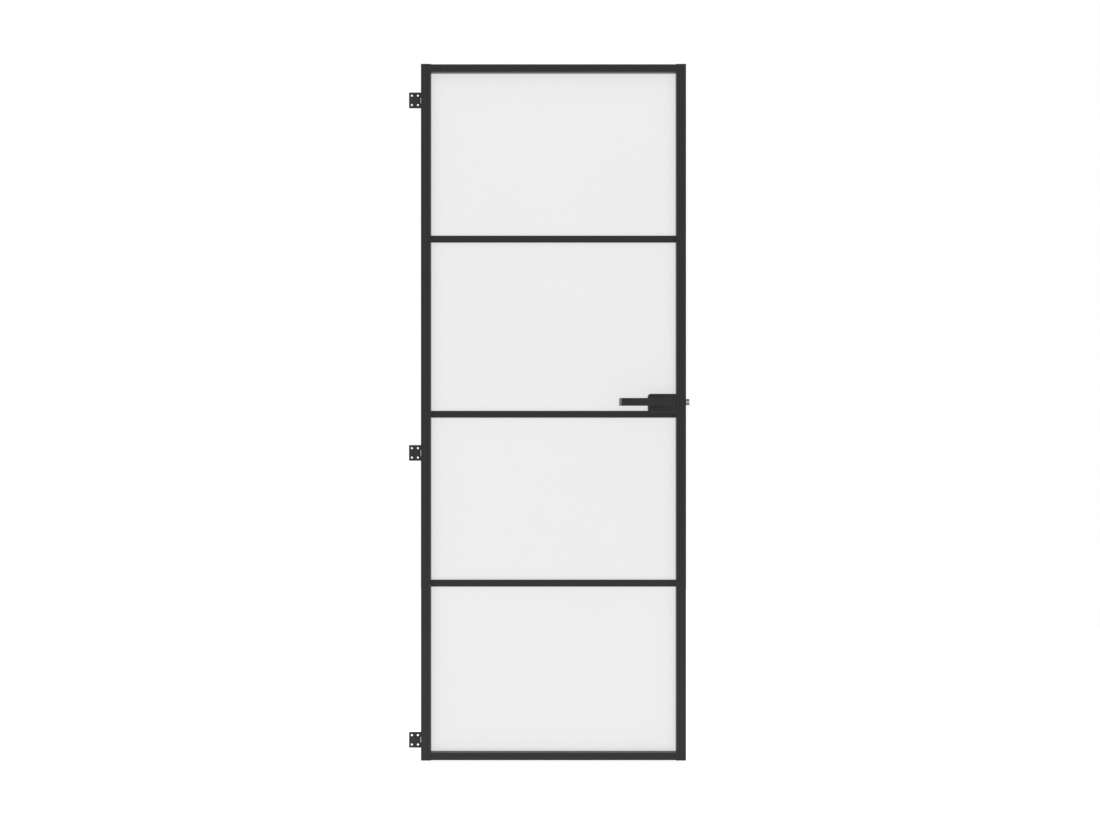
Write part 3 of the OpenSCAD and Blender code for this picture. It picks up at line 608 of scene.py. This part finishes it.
bm = combine(combine(whole_bolt(), strip_room(), "DIFFERENCE"), tail_room(), "DIFFERENCE")
piece("bolt", bm, bolt_steel, "latch", "bright_steel", "latch_bolt")
bm = combine(whole_bolt(), strip_room(), "INTERSECT")
piece("strip_in_bolt", bm, white_nylon, "latch", "white_nylon", "bolt_strip")

WIRE_R = 0.6 * MM
WIRE_SIDES = 10
TURNS = 8
STEPS_A_TURN = 24


def coil(coil_r, length):
    """A coil of round wire with closed ends that winds along X from the origin."""
    bm = bmesh.new()
    section = bmesh.ops.create_circle(bm, segments=WIRE_SIDES, radius=WIRE_R)["verts"]
    bmesh.ops.translate(bm, vec=(0, coil_r, 0), verts=section)
    steps = STEPS_A_TURN * TURNS
    bmesh.ops.spin(
        bm, geom=section + bm.edges[:], cent=(0, 0, 0), axis=(1, 0, 0), dvec=(length / steps, 0, 0),
        angle=math.tau * TURNS, steps=steps, use_merge=False
    )
    bmesh.ops.holes_fill(bm, edges=bm.edges, sides=WIRE_SIDES)
    return bm


low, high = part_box("latch_spring")
bm = coil((high.z - low.z) / 2 - WIRE_R, high.x - low.x - 2 * WIRE_R)
bmesh.ops.translate(bm, vec=(low.x + WIRE_R, (low.y + high.y) / 2, (low.z + high.z) / 2), verts=bm.verts)
bolt_coil = piece("bolt_coil", bm, zinc, "door_leaf", "bright_steel", "latch_spring")
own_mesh(bolt_coil)


# ---- Levers ----------------------------------------------------------------------------------
# Flat bars bent back at the tip, on round necks that turn in nylon bushes. A square spindle and
# a cam join them, and a coil spring round each bush lifts them again.
BUSH_R = 12 * MM
BUSH_BORE_R = 9.05 * MM
BUSH_START = 10 * MM
FLANGE_R = 13 * MM
FLANGE_T = 1.5 * MM
FLANGE_ROUND = 0.6 * MM
spindle = Vector(next(joint for joint in frame["joints"] if joint["name"] == "lever_turn")["pos_m"])
low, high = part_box("lever_bushes")
bush_l = (high.y - low.y) / 2 - BUSH_START
bush = [(BUSH_BORE_R, -bush_l), (BUSH_BORE_R, -FLANGE_ROUND / 2), (BUSH_BORE_R + FLANGE_ROUND / 2, 0.0)]
bush += arc((FLANGE_R - FLANGE_ROUND, -FLANGE_ROUND), FLANGE_ROUND, 90, 0)
bush += [(FLANGE_R, -FLANGE_T), (BUSH_R, -FLANGE_T), (BUSH_R, -bush_l), (BUSH_BORE_R, -bush_l)]
front_place = Matrix.Translation((spindle.x, low.y, spindle.z)) @ FACE_BACK.inverted()
back_place = Matrix.Translation((spindle.x, high.y, spindle.z)) @ FACE_BACK
bm = bmesh.new()
add_copies(bm, turned(bush), [front_place, back_place])
piece("neck_bushes", bm, black_nylon, "door_leaf", "black_plastic", "lever_bushes")

GRIP_T = 9 * MM
KNEE_R = 1 * MM
KNEE_HOLLOW_R = 4 * MM
LEG_HALF = 19.25 * MM
LEG_LEANS = (math.radians(77), math.radians(85.3))
LEG_ROUND = 8 * MM
EDGE_R = 0.8 * MM
RIM_ANGLE = 1
NECK_R = 9 * MM
NECK_FILLET = 1.5 * MM
NECK_IN_GRIP = 1 * MM
NECK_CHAMFER = 0.5 * MM
SET_SCREW_R = 2.5 * MM
SET_SCREW_IN = 5 * MM
lever_low, lever_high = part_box("front_lever")
grip_face = lever_low.y - spindle.y
set_low, set_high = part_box("lever_set_screws")
set_screw_y = spindle.y - set_low.y - SET_SCREW_R


def mitred(path, thick):
    """A closed outline: a path, and the same path set off to its right by a thickness."""
    ways = [(b - a).normalized() for a, b in zip(path, path[1:])]
    ways = [ways[0]] + ways + [ways[-1]]
    inner = []
    for point, before, after in zip(path, ways, ways[1:]):
        side = before.orthogonal() + after.orthogonal()
        inner.append(point - side * thick / (1 + before.dot(after)))
    return path + inner[::-1]


def rise(edge):
    """How much higher one end of an edge is than the other."""
    return abs(edge.verts[0].co.z - edge.verts[1].co.z)


def grip(depth):
    """A lever's grip and leg: a bar seen from above, raised, then rounded at its knee and its edges."""
    run = sum(LEG_HALF * math.cos(lean) for lean in LEG_LEANS)
    path = [Vector((lever_high.x - spindle.x, depth)), Vector((lever_low.x - spindle.x + run, depth))]
    for lean in LEG_LEANS:
        path.append(path[-1] + LEG_HALF * Vector((-math.cos(lean), math.sin(lean))))
    outline = mitred(path, GRIP_T)
    half = (lever_high.z - lever_low.z) / 2
    bm = raised(outline, -half, half)
    knee = math.tan(LEG_LEANS[0] / 2)
    rounds = [(outline[1], KNEE_R * knee), (outline[-2], KNEE_HOLLOW_R * knee)]
    rounds += [(outline[2], LEG_ROUND), (outline[-3], LEG_ROUND)]
    rounds += [(outline[3], EDGE_R), (outline[4], EDGE_R)]
    for corner, reach in rounds:
        upright = [
            edge for edge in bm.edges
            if rise(edge) > half and (edge.verts[0].co.xy - corner).length < TOUCHING
        ]
        round_edges(bm, upright, reach, segments=8)
    rim = [edge for edge in bm.edges if rise(edge) < TOUCHING and edge.calc_face_angle(0) > RIM_ANGLE]
    round_edges(bm, rim, EDGE_R, segments=5)
    return bm


def neck(outer, inner):
    """A lever's round neck along Y, from the back of the grip to its end in the lock."""
    outline = [(0.0, outer + NECK_IN_GRIP), (NECK_R + NECK_FILLET, outer + NECK_IN_GRIP)]
    outline += arc((NECK_R + NECK_FILLET, outer - NECK_FILLET), NECK_FILLET, 90, 180)
    outline += [(NECK_R, inner + NECK_CHAMFER), (NECK_R - NECK_CHAMFER, inner), (0.0, inner)]
    bm = turned(outline)
    bmesh.ops.rotate(bm, cent=(0, 0, 0), matrix=Matrix.Rotation(math.radians(90), 3, "X"), verts=bm.verts)
    return bm


def lever(side):
    """A whole lever about its spindle; side is 1 on the front and -1 on the back."""
    drill = bmesh.new()
    bmesh.ops.create_cone(
        drill, cap_ends=True, segments=32, radius1=SET_SCREW_R, radius2=SET_SCREW_R, depth=2 * SET_SCREW_IN
    )
    bmesh.ops.translate(drill, vec=(0, -set_screw_y, -NECK_R), verts=drill.verts)
    bm = combine(neck(-grip_face - GRIP_T, spindle.y - lever_high.y), drill, "DIFFERENCE")
    add_copies(bm, grip(grip_face), [Matrix.Identity(4)])
    if side < 0:
        bmesh.ops.scale(bm, vec=(1, -1, 1), verts=bm.verts)
    bmesh.ops.translate(bm, vec=spindle, verts=bm.verts)
    return bm


piece("lever_front", lever(1), black_coat, "lever_set", "lever_finish", "front_lever")
piece("lever_back", lever(-1), black_coat, "lever_set", "lever_finish", "back_lever")
finish_nodes(zinc, "lever_cam", "spindle", "lever_springs")

HEX_RIM = 0.9 * MM
HEX_DEPTH = 1.6 * MM


def hexagon(angle):
    """Reach of a hexagonal recess at an angle, as a share of its corners' reach."""
    return math.cos(math.radians(30)) / math.cos(angle % math.radians(60) - math.radians(30))


screw = bmesh.new()
bmesh.ops.create_cone(
    screw, cap_ends=True, segments=24, radius1=SET_SCREW_R, radius2=SET_SCREW_R, depth=set_high.z - set_low.z
)
bmesh.ops.translate(screw, vec=(0, 0, (set_low.z - set_high.z) / 2), verts=screw.verts)
socket_face = max(screw.faces, key=lambda face: face.calc_center_median().z)
sink(screw, socket_face, HEX_RIM, HEX_DEPTH, hexagon)
face_down = Matrix.Rotation(math.radians(180), 4, "X")
places = [Vector((spindle.x, spindle.y + side * set_screw_y, set_low.z)) for side in (-1, 1)]
bm = bmesh.new()
add_copies(bm, screw, [Matrix.Translation(place) @ face_down for place in places])
piece("neck_screws", bm, zinc, "lever_set", "zinc_steel", "lever_set_screws")
